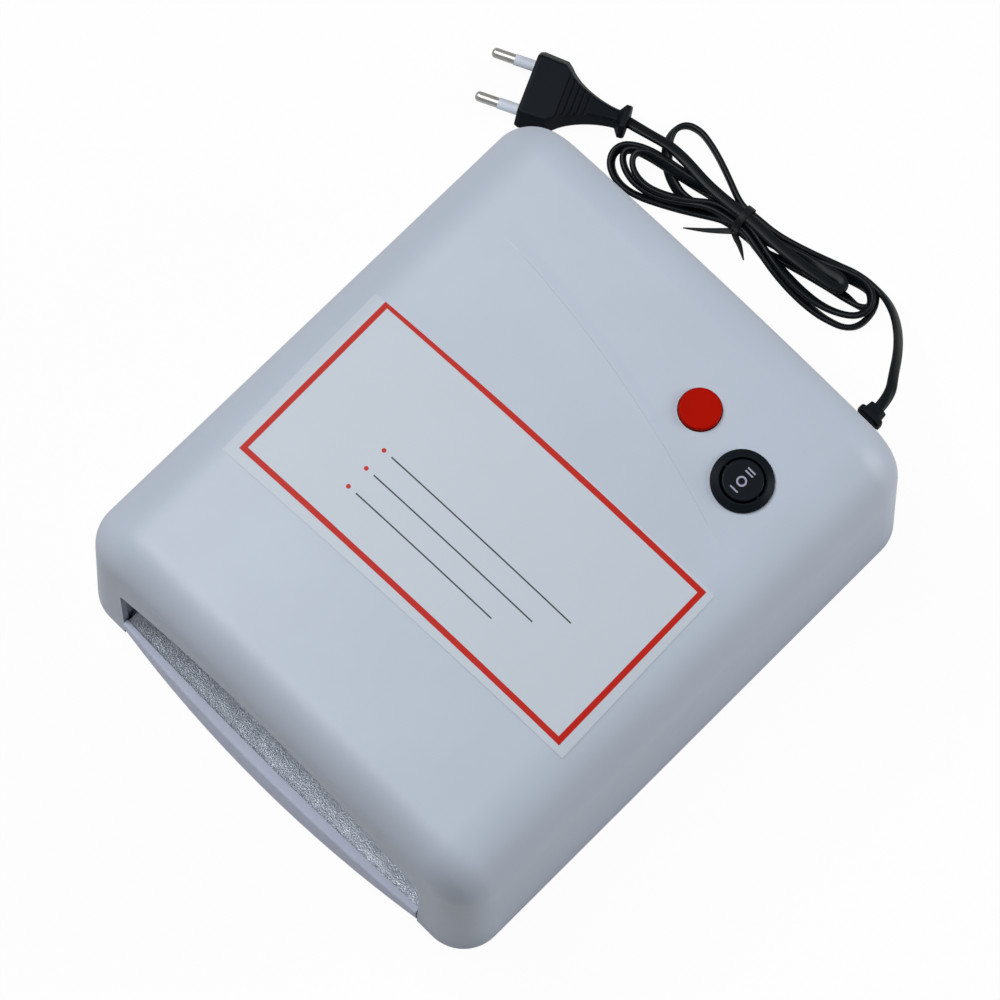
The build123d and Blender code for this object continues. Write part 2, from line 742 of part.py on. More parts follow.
def plug_section(y, half_width, half_height, corner):
    """A flat six-sided section of the plug's body, with rounded corners."""
    points = [
        (-half_width, 0),
        (-half_width + corner, -half_height),
        (half_width - corner, -half_height),
        (half_width, 0),
        (half_width - corner, half_height),
        (-half_width + corner, half_height),
    ]
    face = fillet(Polygon(*points, align=None).vertices(), 1.6)
    return Pos(0, y, 0) * (Plane.XZ * face)


def plug_body():
    """A flat head, a waist that curves in to the cord, finger grooves across it and a collar."""
    tall = plug_half_height
    head = [
        plug_section(0, plug_half_width - 0.6, tall - 0.3, 4),
        plug_section(-1.5, plug_half_width, tall, 4),
        plug_section(-11.4, plug_half_width - 0.6, tall, 4),
        plug_section(-13.8, 13.6, tall, 4),
    ]
    waist = [
        plug_section(-13.8, 13.6, tall, 4),
        plug_section(-18.0, 9.9, 6.5, 3.4),
        plug_section(-23.0, 7.2, 5.9, 2.7),
        plug_section(-29.0, 5.1, 5.1, 2.1),
        plug_section(-37.5, 3.9, 4.3, 1.7),
    ]
    body = loft(head, ruled=True) + loft(waist)
    flare = loft([plug_section(-35.8, 3.6, 4.0, 1.6), plug_section(-38.1, 6.9, 6.4, 2.4)], ruled=True)
    collar = extrude(plug_section(-40.3, 6.9, 6.4, 2.4), -2.2)
    body += flare + fillet(collar.edges().group_by(Axis.Y)[0], 0.9)
    for step in range(5):
        y = -14.6 - groove_pitch * step
        low_y, high_y = y - groove_width / 2, y + groove_width / 2
        half = 9.9 - 1.05 * step
        top = tall - 0.27 * step
        for side in (-1, 1):
            bottom, above = sorted((side * (top - groove_depth), side * (tall + 1)))
            body -= block((-half, half), (low_y, high_y), (bottom, above))
    return plug_place() * body


def plug_pins(start, end, radius, tip=0.0):
    """Both pins between two distances from the face, their ends rounded to tip. They lean together."""
    pins = []
    for side in (-1, 1):
        pin = Cylinder(radius, end - start, align=(Align.CENTER, Align.CENTER, Align.MIN))
        if tip:
            pin = fillet(pin.edges().group_by(Axis.Z)[-1], tip)
        pins.append(plug_place() * Pos(side * pin_half_pitch, 0, 0) * Rot(-90, 0, side * 1.6) * Pos(0, 0, start) * pin)
    return pins


# Label


def label_panel():
    outline = Pos(label_x, label_y) * Rot(0, 0, label_turn) * RectangleRounded(label_width, label_height, 1)
    centre = Pos(0, 0, case_top - crown_radius) * Rot(90, 0, 0)
    film = centre * (Cylinder(crown_radius + label_thickness, case_rear) - Cylinder(crown_radius, case_rear))
    return film & extrude(Pos(0, 0, 80) * outline, 20)


# Finished pieces

lead, lead_bends, lead_length = pipe(lead_route, cord_width / 2)
tail, tail_bends, tail_length = pipe(tail_route, cord_width / 2)
for name, tube, bends, length in (
    ("power cord", lead, lead_bends, lead_length),
    ("plug cord", tail, tail_bends, tail_length),
):
    section = pi * cord_width**2 / 4
    print(name, "radii", [round(bend, 1) for bend in bends], "length", round(length, 1))
    print(name, "volume over section times length", round(tube.volume / (section * length), 3))

pieces = {
    "upper_case": upper_case(),
    "base_plate": base_plate(),
    "rubber_feet": rubber_feet(),
    "case_screws": case_screws(),
    "drawer_tray": drawer_tray(),
    "tray_liner": tray_liner(),
    "mouth_cheeks": mouth_cheeks(),
    "reflector_housing": reflector_housing(),
    "reflector_screws": reflector_screws(),
    "lamp_pins": lamp_pins(),
    "lamp_clips": [place * lamp_clip() for place in lamp_places().values()],
    "switch_housing": switch_housing(),
    "switch_rocker": switch_rocker(),
    "switch_terminals": switch_terminals(),
    "timer_button_cap": timer_button_cap(),
    "button_plunger": button_plunger(),
    "button_spring": button_spring(),
    "push_switch_body": push_switch_body(),
    "timer_board": timer_board(),
    "timer_board_screws": timer_board_screws(),
    "circuit_board": circuit_board(),
    "board_screws": board_screws(),
    "ballast_coils": ballast_coils(),
    "bulk_capacitors": bulk_capacitors(),
    "film_capacitors": film_capacitors(),
    "power_transistors": power_transistors(),
    "timer_relay": timer_relay(),
    "timer_chip": timer_chip(),
    "mains_fuse": mains_fuse(),
    "board_connectors": board_connectors(),
    "strain_relief": strain_relief(),
    "cord_clamp": cord_clamp(),
    "clamp_screws": clamp_screws(),
    "power_cord": lead,
    "cord_hank": cord_hank(),
    "cord_tie": cord_tie(),
    "plug_cord": tail,
    "plug_body": plug_body(),
    "plug_pins": plug_pins(0, pin_length, pin_radius, tip=1.6),
    "plug_pin_sleeves": [
        sleeve - pin
        for sleeve, pin in zip(plug_pins(0, sleeve_length, pin_radius + 0.2), plug_pins(-1, pin_length, pin_radius))
    ],
    "label_panel": label_panel(),
}
for name, place in lamp_places().items():
    pieces[f"lamp_tube_{name}"] = place * lamp_tube()
    pieces[f"lamp_base_{name}"] = place * lamp_base()
    pieces[f"lamp_socket_{name}"] = place * lamp_socket()

# The origin goes under the middle of the case and the lip together
to_origin = Pos(0, -(lip_bow_y + case_rear) / 2, 0)
for name, shape in pieces.items():
    solids = shape if isinstance(shape, list) else [shape]
    moved = [to_origin * solid for solid in solids]
    export_step(Compound(children=moved) if len(moved) > 1 else moved[0], f"parts/{name}.step")
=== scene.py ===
"""Looks of the ultraviolet exposure unit: camera, light, cord, finishes and fine pieces, in metres."""

import json
import math

import bpy
from mathutils import Matrix, Vector


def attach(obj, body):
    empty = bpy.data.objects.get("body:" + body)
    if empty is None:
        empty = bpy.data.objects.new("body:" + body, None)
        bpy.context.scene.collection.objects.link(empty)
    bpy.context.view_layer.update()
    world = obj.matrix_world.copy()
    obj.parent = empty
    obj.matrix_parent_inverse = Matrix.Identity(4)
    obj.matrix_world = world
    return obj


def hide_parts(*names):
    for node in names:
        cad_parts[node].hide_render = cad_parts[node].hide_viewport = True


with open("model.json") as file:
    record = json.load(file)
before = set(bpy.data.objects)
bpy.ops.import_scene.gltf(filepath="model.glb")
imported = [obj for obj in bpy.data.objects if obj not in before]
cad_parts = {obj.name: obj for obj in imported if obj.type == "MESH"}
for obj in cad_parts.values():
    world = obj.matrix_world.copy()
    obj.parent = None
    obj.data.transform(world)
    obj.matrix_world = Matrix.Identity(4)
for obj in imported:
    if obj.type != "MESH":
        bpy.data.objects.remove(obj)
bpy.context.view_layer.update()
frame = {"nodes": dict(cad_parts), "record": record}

# Points closer than this are one point
same_place = 0.00001


# Camera and light


def place_camera():
    """The photograph's camera: high over the front right corner, with a long lens."""
    eye = Vector((0.27923, -0.28384, 1.61824))
    target = Vector((-0.005, 0.00915, 0.05))
    roll = math.radians(0.7)
    back = (eye - target).normalized()
    level = Vector((0, 0, 1)).cross(back).normalized()
    upright = back.cross(level)
    right = level * math.cos(roll) + upright * math.sin(roll)
    data = bpy.data.cameras.new("camera")
    data.lens = 162.0
    data.sensor_width = 36.0
    camera = bpy.data.objects.new("camera", data)
    camera.matrix_world = Matrix((right, back.cross(right), back)).transposed().to_4x4()
    camera.location = eye
    bpy.context.scene.collection.objects.link(camera)
    bpy.context.scene.camera = camera


def softbox(name, place, size, power):
    """A square area light that faces the case."""
    case_middle = Vector((0, 0, 0.05))
    data = bpy.data.lights.new(name, "AREA")
    data.shape = "SQUARE"
    data.size = size
    data.energy = power
    lamp = bpy.data.objects.new(name, data)
    lamp.location = place
    lamp.rotation_euler = (case_middle - Vector(place)).to_track_quat("-Z", "Y").to_euler()
    bpy.context.scene.collection.objects.link(lamp)


def surround():
    """A dim, cool room that is brighter in gloss and through glass, and white to the camera."""
    world = bpy.data.worlds.new("studio")
    bpy.context.scene.world = world
    world.use_nodes = True
    nodes = world.node_tree.nodes
    links = world.node_tree.links
    rays = nodes.new("ShaderNodeLightPath")
    lit = nodes["Background"]
    lit.inputs["Color"].default_value = (0.9, 0.94, 1.0, 1)
    lit.inputs["Strength"].default_value = 0.02
    strengths = {"Is Glossy Ray": 0.5, "Is Transmission Ray": 0.8, "Is Camera Ray": 1.0}
    for ray, strength in strengths.items():
        shown = nodes.new("ShaderNodeBackground")
        shown.inputs["Strength"].default_value = strength
        choice = nodes.new("ShaderNodeMixShader")
        links.new(rays.outputs[ray], choice.inputs[0])
        links.new(lit.outputs[0], choice.inputs[1])
        links.new(shown.outputs[0], choice.inputs[2])
        lit = choice
    links.new(lit.outputs[0], nodes["World Output"].inputs["Surface"])


# Shader expressions


class Value:
    """A shader output that Python's operators work on."""

    def __init__(self, finish, link):
        self.finish = finish
        self.link = link

    def maths(self, operation, *inputs):
        return self.finish.add("ShaderNodeMath", {"operation": operation}, inputs)

    def __add__(self, other):
        return self.maths("ADD", self, other)

    def __sub__(self, other):
        return self.maths("SUBTRACT", self, other)

    def __rsub__(self, other):
        return self.maths("SUBTRACT", other, self)

    def __mul__(self, other):
        return self.maths("MULTIPLY", self, other)

    def __pow__(self, other):
        return self.maths("POWER", self, other)

    def __abs__(self):
        return self.maths("ABSOLUTE", self)

    def or_more(self, other):
        return self.maths("MAXIMUM", self, other)

    __radd__ = __add__
    __rmul__ = __mul__


class Finish:
    """One material: plain numbers are set on its shader, and what varies is built from expressions."""

    of_slot = {}

    def __init__(self, name, colour, roughness, metallic=0.0, **plain):
        self.of_slot[name] = self
        self.material = bpy.data.materials.new(name)
        self.material.use_nodes = True
        self.tree = self.material.node_tree
        self.shader = self.tree.nodes["Principled BSDF"]
        self.shader.inputs["Base Color"].default_value = (*colour, 1)
        self.shader.inputs["Roughness"].default_value = roughness
        self.shader.inputs["Metallic"].default_value = metallic
        for socket, number in plain.items():
            title = socket.replace("_", " ").title().replace("Ior", "IOR")
            self.shader.inputs[title].default_value = number
        self.place = self.add("ShaderNodeTexCoord", output="Object")

    def add(self, kind, settings=None, inputs=(), output=0):
        """One node: its settings first, then its sockets, given in order or by name or number."""
        node = self.tree.nodes.new(kind)
        for name, setting in (settings or {}).items():
            setattr(node, name, setting)
        for socket, given in inputs.items() if isinstance(inputs, dict) else enumerate(inputs):
            if isinstance(given, Value):
                self.tree.links.new(given.link, node.inputs[socket])
            else:
                node.inputs[socket].default_value = given
        return Value(self, node.outputs[output])

    def feed(self, socket, value):
        self.tree.links.new(value.link, self.shader.inputs[socket])

    def noise(self, scale, detail=2.0, roughness=0.5, stretch=(1, 1, 1)):
        """Soft noise on the piece's own coordinates, between 0 and 1."""
        where = self.place
        if stretch != (1, 1, 1):
            where = self.add("ShaderNodeMapping", {}, {"Vector": where, "Scale": stretch})
        inputs = {"Vector": where, "Scale": scale, "Detail": detail, "Roughness": roughness}
        return self.add("ShaderNodeTexNoise", {}, inputs)

    def cells(self, scale, distance="EUCLIDEAN"):
        """The distance to the nearest of many scattered points on the piece."""
        inputs = {"Vector": self.place, "Scale": scale}
        return self.add("ShaderNodeTexVoronoi", {"distance": distance}, inputs)

    def ramp(self, value, low, high, start=0.0, end=1.0):
        """A smooth step from start to end, as the value goes from low to high."""
        return self.add(
            "ShaderNodeMapRange",
            {"interpolation_type": "SMOOTHSTEP"},
            {"Value": value, "From Min": low, "From Max": high, "To Min": start, "To Max": end},
        )

    def mix(self, share, first, second):
        """A colour between two colours."""
        first, second = (c if isinstance(c, Value) else (*c, 1) for c in (first, second))
        inputs = {0: share, 6: first, 7: second}
        return self.add("ShaderNodeMix", {"data_type": "RGBA"}, inputs, output=2)

    def bump(self, height, distance, strength=1.0, under=None):
        inputs = {"Height": height, "Distance": distance, "Strength": strength}
        if under:
            inputs["Normal"] = under
        return self.add("ShaderNodeBump", {}, inputs)

    def axes(self):
        """The X, Y and Z of the piece's own coordinates."""
        split = self.add("ShaderNodeSeparateXYZ", {}, {0: self.place})
        return [Value(self, out) for out in split.link.node.outputs]


# Finishes


def moulded(name, colour, roughness, grain=0.00002, spread=0.04, relief=None, **plain):
    """Moulded plastic: a faint drift of tone, a fine spark-eroded grain and slightly uneven gloss."""
    patch_scale, gloss_scale, grain_scale = 28.0, 160.0, 2600.0
    gloss_spread = 0.10
    finish = Finish(name, colour, roughness, **plain)
    under = relief(finish) if relief else None
    drift = finish.ramp(finish.noise(patch_scale, detail=3.0), 0.3, 0.7)
    darker = [c * (1 - spread) for c in colour]
    lighter = [min(1.0, c * (1 + spread)) for c in colour]
    finish.feed("Base Color", finish.mix(drift, darker, lighter))
    finish.feed("Roughness", roughness + (finish.noise(gloss_scale) - 0.5) * gloss_spread)
    finish.feed("Normal", finish.bump(finish.noise(grain_scale, roughness=0.6), grain, under=under))
    return finish


def crease(finish):
    """The faint raised line that crosses the case's top between the label and the controls."""
    at_middle, slope, bow = 0.0627, 0.205, 1.05
    front_foot, rear_foot, height = -0.0007, 0.0050, 0.00022
    left_end, right_end = (-0.068, -0.050), (0.072, 0.058)
    x, y, _ = finish.axes()
    behind = y - (at_middle - slope * x - bow * x * x)
    ridge = finish.ramp(behind, front_foot, 0.0) * finish.ramp(behind, rear_foot, 0.0)
    ends = finish.ramp(x, *left_end) * finish.ramp(x, *right_end)
    return finish.bump(ridge * ends, height)


def metal(name, colour, roughness, stretch=(1, 1, 1), grain=0.00001, marking=0.2):
    """Plated or plain metal with fine marks along one way."""
    mark_scale, patch_scale = 900.0, 60.0
    finish = Finish(name, colour, roughness, metallic=1.0)
    marks = finish.noise(mark_scale, detail=3.0, roughness=0.6, stretch=stretch)
    duller = [c * 0.92 for c in colour]
    finish.feed("Roughness", roughness + (marks - 0.5) * marking)
    finish.feed("Base Color", finish.mix(finish.noise(patch_scale), duller, colour))
    finish.feed("Normal", finish.bump(marks, grain))
    return finish


def crinkled_foil(name, dark, bright, roughness, crinkle, metallic=0.75):
    """Silver film with a fine crinkle that sparkles, for the drawer's liner and the mouth's cheeks;
    its colour follows the fine crinkle, with painted shade in the hollows and painted glints on the
    rises.
    """
    facet_scale, fine_scale, broad_scale, gloss_scale = 1700.0, 2300.0, 240.0, 700.0
    gloss_spread = 0.16
    finish = Finish(name, bright, roughness, metallic)
    facets = finish.cells(facet_scale)
    fine = finish.noise(fine_scale, detail=3.0, roughness=0.7)
    folds = facets * 0.6 + fine * 0.6 + finish.noise(broad_scale) * 0.4
    gloss = finish.ramp(finish.noise(gloss_scale), 0.3, 0.7, roughness, roughness + gloss_spread)
    finish.feed("Normal", finish.bump(folds, crinkle, strength=0.7))
    # Painted shade and glints: darker where the fine crinkle in the bump is low, lighter where it is
    # high.
    finish.feed("Base Color", finish.mix(finish.ramp(fine, 0.35, 0.7), dark, bright))
    finish.feed("Roughness", gloss)
    return finish


def printed_label():
    """A white sticker with a red border, and three red bullets with a ruled line after each."""
    white = (0.58, 0.64, 0.72)
    red = (0.48, 0.010, 0.003)
    dark = (0.035, 0.045, 0.055)
    middle_x, middle_y, turn = 0.0005, -0.01056, math.radians(1.3)
    border_half_width, border_half_depth, border_half_line = 0.0762, 0.0364, 0.00110
    bullet_x, bullet_radius, soft_edge = -0.0391, 0.00080, 0.00015
    line_start, line_half_width, line_edge = -0.0355, 0.00028, 0.00010
    edge_scale, edge_raggedness = 1800.0, 0.00010
    # How far up each row lies on the label, and where its line ends
    rows = ((-0.0036, 0.051), (-0.0126, 0.041), (-0.0216, 0.030))
    finish = Finish("label_film", white, 0.42, specular_ior_level=0.25)
    x, y, _ = finish.axes()
    x = x - middle_x
    y = y - middle_y
    along = x * math.cos(turn) + y * math.sin(turn)
    across = y * math.cos(turn) - x * math.sin(turn)
    ragged = finish.noise(edge_scale) * edge_raggedness

    def outside(bar_x, bar_y, half_x, half_y):
        """How far a place lies outside an upright bar."""
        return (abs(along - bar_x) - half_x).or_more(abs(across - bar_y) - half_y)

    border_edge = abs(outside(0, 0, border_half_width, border_half_depth)) + ragged
    border = finish.ramp(border_edge, border_half_line + soft_edge, border_half_line)
    ruled, bullets = 0, 0
    for row, line_end in rows:
        line = outside((line_end + line_start) / 2, row, (line_end - line_start) / 2, line_half_width)
        bullet = ((along - bullet_x) ** 2.0 + (across - row) ** 2.0) ** 0.5
        ruled = ruled + finish.ramp(line + ragged, line_edge, 0.0)
        bullets = bullets + finish.ramp(bullet, bullet_radius + soft_edge, bullet_radius)
    ink = finish.mix(finish.noise(400.0), red, [c * 1.15 for c in red])
    paper = finish.mix(finish.noise(45.0, detail=3.0), [c * 0.97 for c in white], white)
    printed = finish.mix(ruled, paper, dark)
    finish.feed("Base Color", finish.mix(border + bullets, printed, ink))
    finish.feed("Roughness", 0.40 + border * 0.06 + finish.noise(120.0) * 0.06)
    finish.feed("Normal", finish.bump(finish.noise(900.0), 0.00001))
    return finish


def glowing_glass():
    """The lamps' tubes: pale phosphor seen through clear glass."""
    roughness, powder_scale, powder_roughness = 0.12, 700.0, 0.08
    finish = Finish("lamp_glass", (0.80, 0.82, 0.90), roughness, coat_weight=0.6, coat_roughness=0.03)
    powder = finish.noise(powder_scale, detail=3.0)
    finish.feed("Base Color", finish.mix(powder, (0.74, 0.77, 0.88), (0.82, 0.84, 0.90)))
    finish.feed("Roughness", roughness + powder * powder_roughness)
    return finish


def circuit_green():
    """A phenolic board with soldered tracks."""
    track_scale, track_height = 260.0, 0.00004
    finish = Finish("board_green", (0.30, 0.20, 0.07), 0.45)
    copper = finish.ramp(finish.cells(track_scale, "MANHATTAN"), 0.32, 0.30)
    finish.feed("Base Color", finish.mix(copper, (0.32, 0.21, 0.08), (0.20, 0.28, 0.08)))
    finish.feed("Normal", finish.bump(copper, track_height))
    return finish


# One finish for each of the part's slots, and three more that dress single pieces
cool_white = (0.50, 0.56, 0.66)
smooth_white = {"grain": 0.000012, "spread": 0.015}
moulded("case_white", cool_white, 0.46, **smooth_white)
moulded("drawer_white", (0.585, 0.635, 0.81), 0.46, **smooth_white)
upper_case_white = moulded("upper_case_white", cool_white, 0.46, relief=crease, **smooth_white)
moulded("base_white", (0.50, 0.56, 0.65), 0.52)
crinkled_foil("liner_silver", (0.21, 0.235, 0.28), (0.50, 0.535, 0.61), 0.34, 0.00015)
# The mouth's cheeks get a brighter, mirror-like copy of the liner's foil: painted light, standing in
# for the light that the case keeps off them.
cheek_foil_painted_light = crinkled_foil(
    "cheek_foil_painted_light", (0.80, 0.84, 0.92), (0.92, 0.95, 1.0), 0.04, 0.00010, metallic=1.0
)
moulded("foot_rubber", (0.025, 0.025, 0.027), 0.75)
metal("screw_steel", (0.55, 0.55, 0.56), 0.30)
metal("reflector_chrome", (0.80, 0.81, 0.83), 0.12, stretch=(1, 0.05, 1))
metal("spring_steel", (0.60, 0.60, 0.61), 0.30)
metal("pin_brass", (0.78, 0.58, 0.28), 0.28)
metal("pin_nickel", (0.52, 0.51, 0.48), 0.30, grain=0.000001, marking=0.06)
moulded("sleeve_white", (0.70, 0.76, 0.86), 0.5)
moulded("switch_black", (0.005, 0.008, 0.012), 0.40, grain=0.000015, specular_ior_level=0.07)
moulded("rocker_black", (0.006, 0.009, 0.013), 0.32, grain=0.00001, specular_ior_level=0.10)
moulded("button_red", (0.43, 0.005, 0.0002), 0.42, grain=0.00001, specular_ior_level=0.03)
moulded("coil_copper", (0.62, 0.45, 0.08), 0.4)
moulded("capacitor_sleeve", (0.02, 0.03, 0.07), 0.3)
moulded("film_red", (0.35, 0.05, 0.03), 0.3)
moulded("chip_black", (0.02, 0.02, 0.02), 0.6)
moulded("relay_blue", (0.03, 0.14, 0.42), 0.4)
Finish("fuse_glass", (0.80, 0.85, 0.85), 0.08, transmission_weight=0.9)
moulded("connector_white", (0.72, 0.70, 0.64), 0.5)
moulded("bush_black", (0.004, 0.006, 0.009), 0.5, specular_ior_level=0.10)
moulded("cord_black", (0.004, 0.006, 0.008), 0.34, grain=0.000012, specular_ior_level=0.14)
moulded("tie_black", (0.006, 0.007, 0.009), 0.45, specular_ior_level=0.14)
moulded("plug_black", (0.003, 0.005, 0.008), 0.46, specular_ior_level=0.10)
printed_label()
glowing_glass()
moulded("lamp_base_white", (0.74, 0.74, 0.70), 0.45)
moulded("socket_white", (0.70, 0.69, 0.65), 0.5)
circuit_green()
mark_white = moulded("mark_white", (0.38, 0.37, 0.50), 0.5, specular_ior_level=0.1)

own_finishes = {"upper_case": upper_case_white, "mouth_cheeks": cheek_foil_painted_light}
for subpart in frame["record"]["subparts"]:
    node = frame["nodes"][subpart["node"]]
    finish = own_finishes.get(subpart["node"], Finish.of_slot[subpart["material_slot"]])
    if not node.material_slots:
        node.data.materials.append(None)
    for slot in node.material_slots:
        slot.material = finish.material


# Steps that the new pieces share


def deselect():
    """Leaves edit mode and deselects everything, so that a new primitive stands alone."""
    if bpy.context.mode != "OBJECT":
        bpy.ops.object.mode_set(mode="OBJECT")
    bpy.ops.object.select_all(action="DESELECT")


def only(piece):
    """Makes one object the only selected one and the active one."""
    deselect()
    piece.select_set(True)
    bpy.context.view_layer.objects.active = piece


def edit_all():
    """Opens the active piece in edit mode with all of it selected."""
    bpy.ops.object.mode_set(mode="EDIT")
    bpy.ops.mesh.select_all(action="SELECT")


def smooth():
    """Shades the selected piece smooth, apart from its sharper edges."""
    bpy.ops.object.shade_smooth_by_angle(angle=math.radians(50))


def apply_place():
    bpy.ops.object.transform_apply(location=True, rotation=True, scale=True)


def apply_modifiers(piece):
    only(piece)
    for modifier in list(piece.modifiers):
        bpy.ops.object.modifier_apply(modifier=modifier.name)


def joined(name, pieces):
    only(pieces[0])
    for piece in pieces:
        piece.select_set(True)
    bpy.ops.object.join()
    pieces[0].name = name
    return pieces[0]


def settle(piece, body, slot, *replaced, finish=None):
    """Bakes a new piece's place into its mesh, gives it its finish and makes it ride."""
    only(piece)
    apply_place()
    piece.data.materials.clear()
    piece.data.materials.append((finish or Finish.of_slot[slot]).material)
    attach(piece, body)
    if replaced:
        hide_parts(*replaced)
    return piece


# Floor


def lay_floor():
    """A paper floor that takes soft shadows and looks almost white to the camera."""
    whiteness = 0.96
    deselect()
    bpy.ops.mesh.primitive_plane_add(size=8, location=(0, 0, 0))
    floor = bpy.context.active_object
    floor.name = "floor"
    paper = Finish("floor_paper", (0.80, 0.80, 0.80), 0.9)
    seen = paper.add("ShaderNodeLightPath", output="Is Camera Ray")
    glow = paper.add("ShaderNodeEmission", {}, {"Color": (1, 1, 1, 1), "Strength": 1.0})
    plain = Value(paper, paper.shader.outputs[0])
    shown = paper.add("ShaderNodeMixShader", {}, (seen * whiteness, plain, glow))
    paper.tree.links.new(shown.link, paper.tree.nodes["Material Output"].inputs["Surface"])
    floor.data.materials.append(paper.material)


lay_floor()


# Cord: one flat twin lead from the bush through the hank to the plug

cord_width = 0.0044
cord_thickness = 0.0024
flat, edge_on = 0.0, math.radians(90)

# Each point is x, y, z and how far the flat section is turned about its own line
lead_route = [
    (0.0660, 0.13405, 0.0350, flat),
    (0.0656, 0.14085, 0.0345, 0.4),
    (0.0604, 0.14855, 0.0310, 0.7),
    (0.0555, 0.15665, 0.0255, 0.8),
    (0.0490, 0.16485, 0.0176, 0.8),
    (0.0412, 0.17165, 0.0100, 0.9),
    (0.0330, 0.17525, 0.0052, 1.1),
    (0.0220, 0.17525, 0.0042, edge_on),
]
lead_into_hank = [
    (0.0105, 0.1706, 0.0056, edge_on),
    (-0.0010, 0.1664, 0.0066, edge_on),
    (-0.0120, 0.1635, 0.0068, edge_on),
]
tail_route = [
    (-0.0645, 0.16045, 0.0076, 0.3),
    (-0.0735, 0.15825, 0.0070, 0.4),
    (-0.0832, 0.15605, 0.00685, flat),
]

tie_middle = Vector((-0.0248, 0.15945, 0))
tie_across = Vector((-0.09, 0.996, 0))
tie_along = Vector((0.996, 0.09, 0))
tie_reach = 0.004


def through_tie(across, height, turn=edge_on, heading=1):
    """Two points that take a strand through the tie, heading right for 1 and left for -1."""
    middle = tie_middle + tie_across * across
    reach = tie_along * tie_reach * heading
    return [(*end.xy, height, turn) for end in (middle - reach, middle + reach)]


low_row, high_row, top_row = 0.0023, 0.0068, 0.0104
loop_upper_left = [
    (-0.0400, 0.1673, 0.0055, edge_on),
    (-0.0475, 0.1705, 0.0042, edge_on),
    (-0.0546, 0.1729, 0.0032, edge_on),
    (-0.0612, 0.1742, 0.0026, edge_on),
    (-0.0669, 0.1726, 0.0024, edge_on),
    (-0.0690, 0.1684, 0.0024, 1.3),
    (-0.0680, 0.1637, 0.0022, 0.9),
    (-0.0650, 0.1592, 0.0020, 0.5),
    (-0.0605, 0.1553, 0.0019, 0.5),
    (-0.0549, 0.1522, 0.0020, 0.7),
    (-0.0480, 0.1505, 0.0022, 0.9),
    (-0.0385, 0.1533, 0.0024, edge_on),
]
loop_outer_left = [
    (-0.0345, 0.1529, 0.0023, 0.9),
    (-0.0430, 0.1480, 0.0023, 0.6),
    (-0.0520, 0.1431, 0.0023, 0.6),
    (-0.0600, 0.1389, 0.0023, 1.0),
    (-0.0680, 0.1372, 0.0023, 1.0),
    (-0.0753, 0.1393, 0.0026, 1.0),
    (-0.0789, 0.1438, 0.0032, 1.1),
    (-0.0783, 0.1487, 0.0038, 1.1),
    (-0.0738, 0.1523, 0.0043, 1.1),
    (-0.0670, 0.1549, 0.0044, 1.0),
    (-0.0570, 0.1566, 0.0040, 0.9),
    (-0.0470, 0.1585, 0.0032, 1.2),
    (-0.0375, 0.1608, 0.0024, edge_on),
]
loop_second_left = [
    (-0.0370, 0.1537, 0.0066, edge_on),
    (-0.0465, 0.1486, 0.0054, 0.5),
    (-0.0537, 0.1442, 0.0040, 0.6),
    (-0.0605, 0.1418, 0.0032, 1.0),
    (-0.0672, 0.1416, 0.0032, 1.1),
    (-0.0732, 0.1438, 0.0036, 1.2),
    (-0.0765, 0.1475, 0.0041, edge_on),
    (-0.0738, 0.1509, 0.0046, 1.2),
    (-0.0665, 0.1533, 0.0049, 0.9),
    (-0.0570, 0.1550, 0.0046, 0.9),
    (-0.0470, 0.1572, 0.0032, 1.2),
    (-0.0375, 0.1591, 0.0024, edge_on),
]
loop_inner_left = [
    (-0.0370, 0.1563, 0.0068, edge_on),
    (-0.0452, 0.1498, 0.0066, 1.1),
    (-0.0524, 0.1456, 0.0062, 1.1),
    (-0.0597, 0.1430, 0.0060, 1.1),
    (-0.0659, 0.1432, 0.0062, 1.2),
    (-0.0706, 0.1457, 0.0068, edge_on),
    (-0.0721, 0.1495, 0.0076, edge_on),
    (-0.0686, 0.1525, 0.0080, 1.2),
    (-0.0610, 0.1540, 0.0080, 0.8),
    (-0.0530, 0.1554, 0.0077, 0.8),
    (-0.0450, 0.1573, 0.0072, 1.1),
    (-0.0370, 0.1596, 0.0068, edge_on),
]
loop_low_right = [
    (-0.0130, 0.1602, 0.0023, edge_on),
    (-0.0020, 0.1638, 0.0023, edge_on),
    (0.0090, 0.1677, 0.0023, edge_on),
    (0.0180, 0.1709, 0.0024, edge_on),
    (0.0250, 0.1730, 0.0026, edge_on),
    (0.0300, 0.1730, 0.0028, edge_on),
    (0.0325, 0.1695, 0.0030, edge_on),
    (0.0300, 0.1660, 0.0028, edge_on),
    (0.0230, 0.1654, 0.0025, 0.5),
    (0.0150, 0.1641, 0.0023, 0.3),
    (0.0050, 0.1617, 0.0023, 0.4),
    (-0.0050, 0.1587, 0.0023, 0.8),
    (-0.0140, 0.1564, 0.0023, edge_on),
]
loop_outer_right = [
    (-0.0130, 0.1639, 0.0024, edge_on),
    (0.0000, 0.1679, 0.0024, edge_on),
    (0.0120, 0.1724, 0.0024, edge_on),
    (0.0215, 0.1751, 0.0024, edge_on),
    (0.0288, 0.1758, 0.0024, edge_on),
    (0.0330, 0.1717, 0.0024, edge_on),
    (0.0346, 0.1665, 0.0024, edge_on),
    (0.0343, 0.1606, 0.0024, edge_on),
    (0.0312, 0.1565, 0.0024, 1.2),
    (0.0256, 0.1543, 0.0024, 1.1),
    (0.0184, 0.1529, 0.0026, 0.8),
    (0.0080, 0.1524, 0.0036, 0.7),
    (-0.0030, 0.1530, 0.0054, 0.8),
    (-0.0135, 0.1543, 0.0067, edge_on),
]
